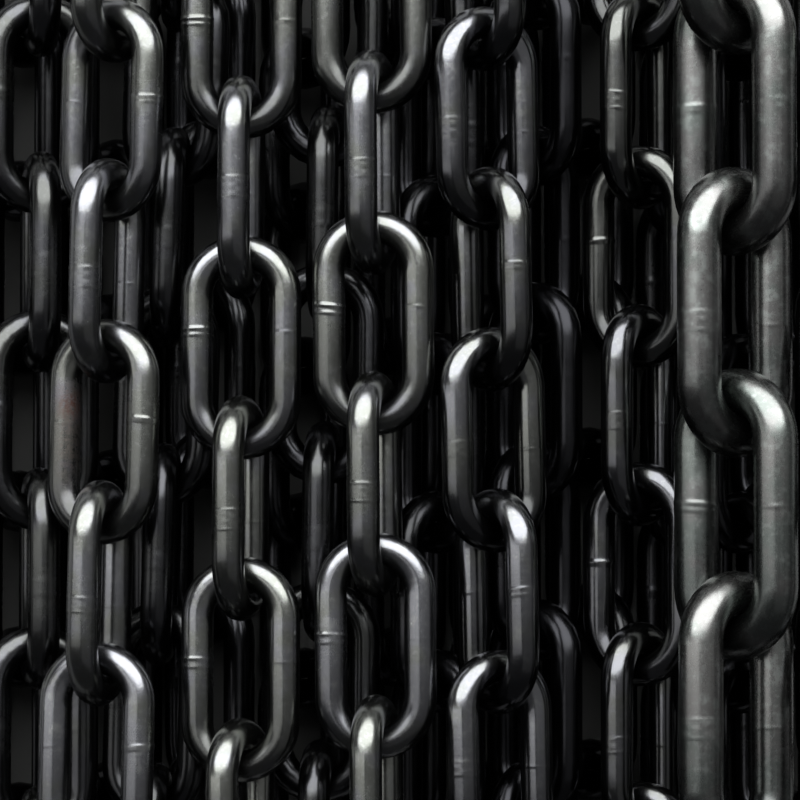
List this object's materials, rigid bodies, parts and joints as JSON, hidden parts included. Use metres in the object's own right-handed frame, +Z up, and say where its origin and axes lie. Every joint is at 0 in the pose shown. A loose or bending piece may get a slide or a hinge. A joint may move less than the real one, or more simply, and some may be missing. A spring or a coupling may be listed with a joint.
{
  "type": "heap of conveyor chain",
  "caption": "Straight strands of blackened round-link conveyor chain lying side by side in layers, with a heavier strand on top.",
  "frame": {"origin": "middle of the heap's footprint, on the floor", "axes": "+Y along the strands, +X across them, +Z up out of the heap"},
  "size_m": [0.5332, 0.6916, 0.1532],
  "materials": {
    "blackened_steel": "heat-blackened and oiled, with bright scuffs on the raised faces",
    "grey_steel": "dark grey and oiled, with lighter worn patches"
  },
  "bodies": {
    "root": {"strand_1_link_1": "blackened_steel", "strand_1_link_2": "blackened_steel", "strand_1_link_3": "blackened_steel", "strand_1_link_4": "blackened_steel", "strand_1_link_5": "blackened_steel", "strand_1_link_6": "blackened_steel", "strand_1_link_7": "blackened_steel", "strand_2_link_1": "blackened_steel", "strand_2_link_2": "blackened_steel", "strand_2_link_3": "blackened_steel", "strand_2_link_4": "blackened_steel", "strand_2_link_5": "blackened_steel", "strand_2_link_6": "blackened_steel", "strand_2_link_7": "blackened_steel", "strand_3_link_1": "blackened_steel", "strand_3_link_2": "blackened_steel", "strand_3_link_3": "blackened_steel", "strand_3_link_4": "blackened_steel", "strand_3_link_5": "blackened_steel", "strand_3_link_6": "blackened_steel", "strand_3_link_7": "blackened_steel", "strand_4_link_1": "blackened_steel", "strand_4_link_2": "blackened_steel", "strand_4_link_3": "blackened_steel", "strand_4_link_4": "blackened_steel", "strand_4_link_5": "blackened_steel", "strand_4_link_6": "blackened_steel", "strand_4_link_7": "blackened_steel", "strand_5_link_1": "blackened_steel", "strand_5_link_2": "blackened_steel", "strand_5_link_3": "blackened_steel", "strand_5_link_4": "blackened_steel", "strand_5_link_5": "blackened_steel", "strand_5_link_6": "blackened_steel", "strand_5_link_7": "blackened_steel", "heavy_strand_link_1": "grey_steel", "heavy_strand_link_2": "grey_steel", "heavy_strand_link_3": "grey_steel", "heavy_strand_link_4": "grey_steel", "heavy_strand_link_5": "grey_steel", "back_strand_1": "blackened_steel", "back_strand_2": "blackened_steel", "back_strand_3": "blackened_steel", "back_strand_4": "blackened_steel", "back_strand_5": "blackened_steel", "back_strand_6": "blackened_steel", "back_strand_7": "blackened_steel", "back_strand_8": "blackened_steel", "side_strand": "blackened_steel", "floor_strand_left": "blackened_steel", "floor_strand_2": "blackened_steel", "floor_strand_3": "blackened_steel", "floor_strand_4": "blackened_steel", "floor_strand_5": "blackened_steel", "floor_layer_core": "blackened_steel", "floor_strand_7": "blackened_steel", "floor_strand_8": "blackened_steel", "floor_strand_9": "blackened_steel", "floor_strand_10": "blackened_steel", "floor_strand_right": "blackened_steel"}
  },
  "joints": []
}
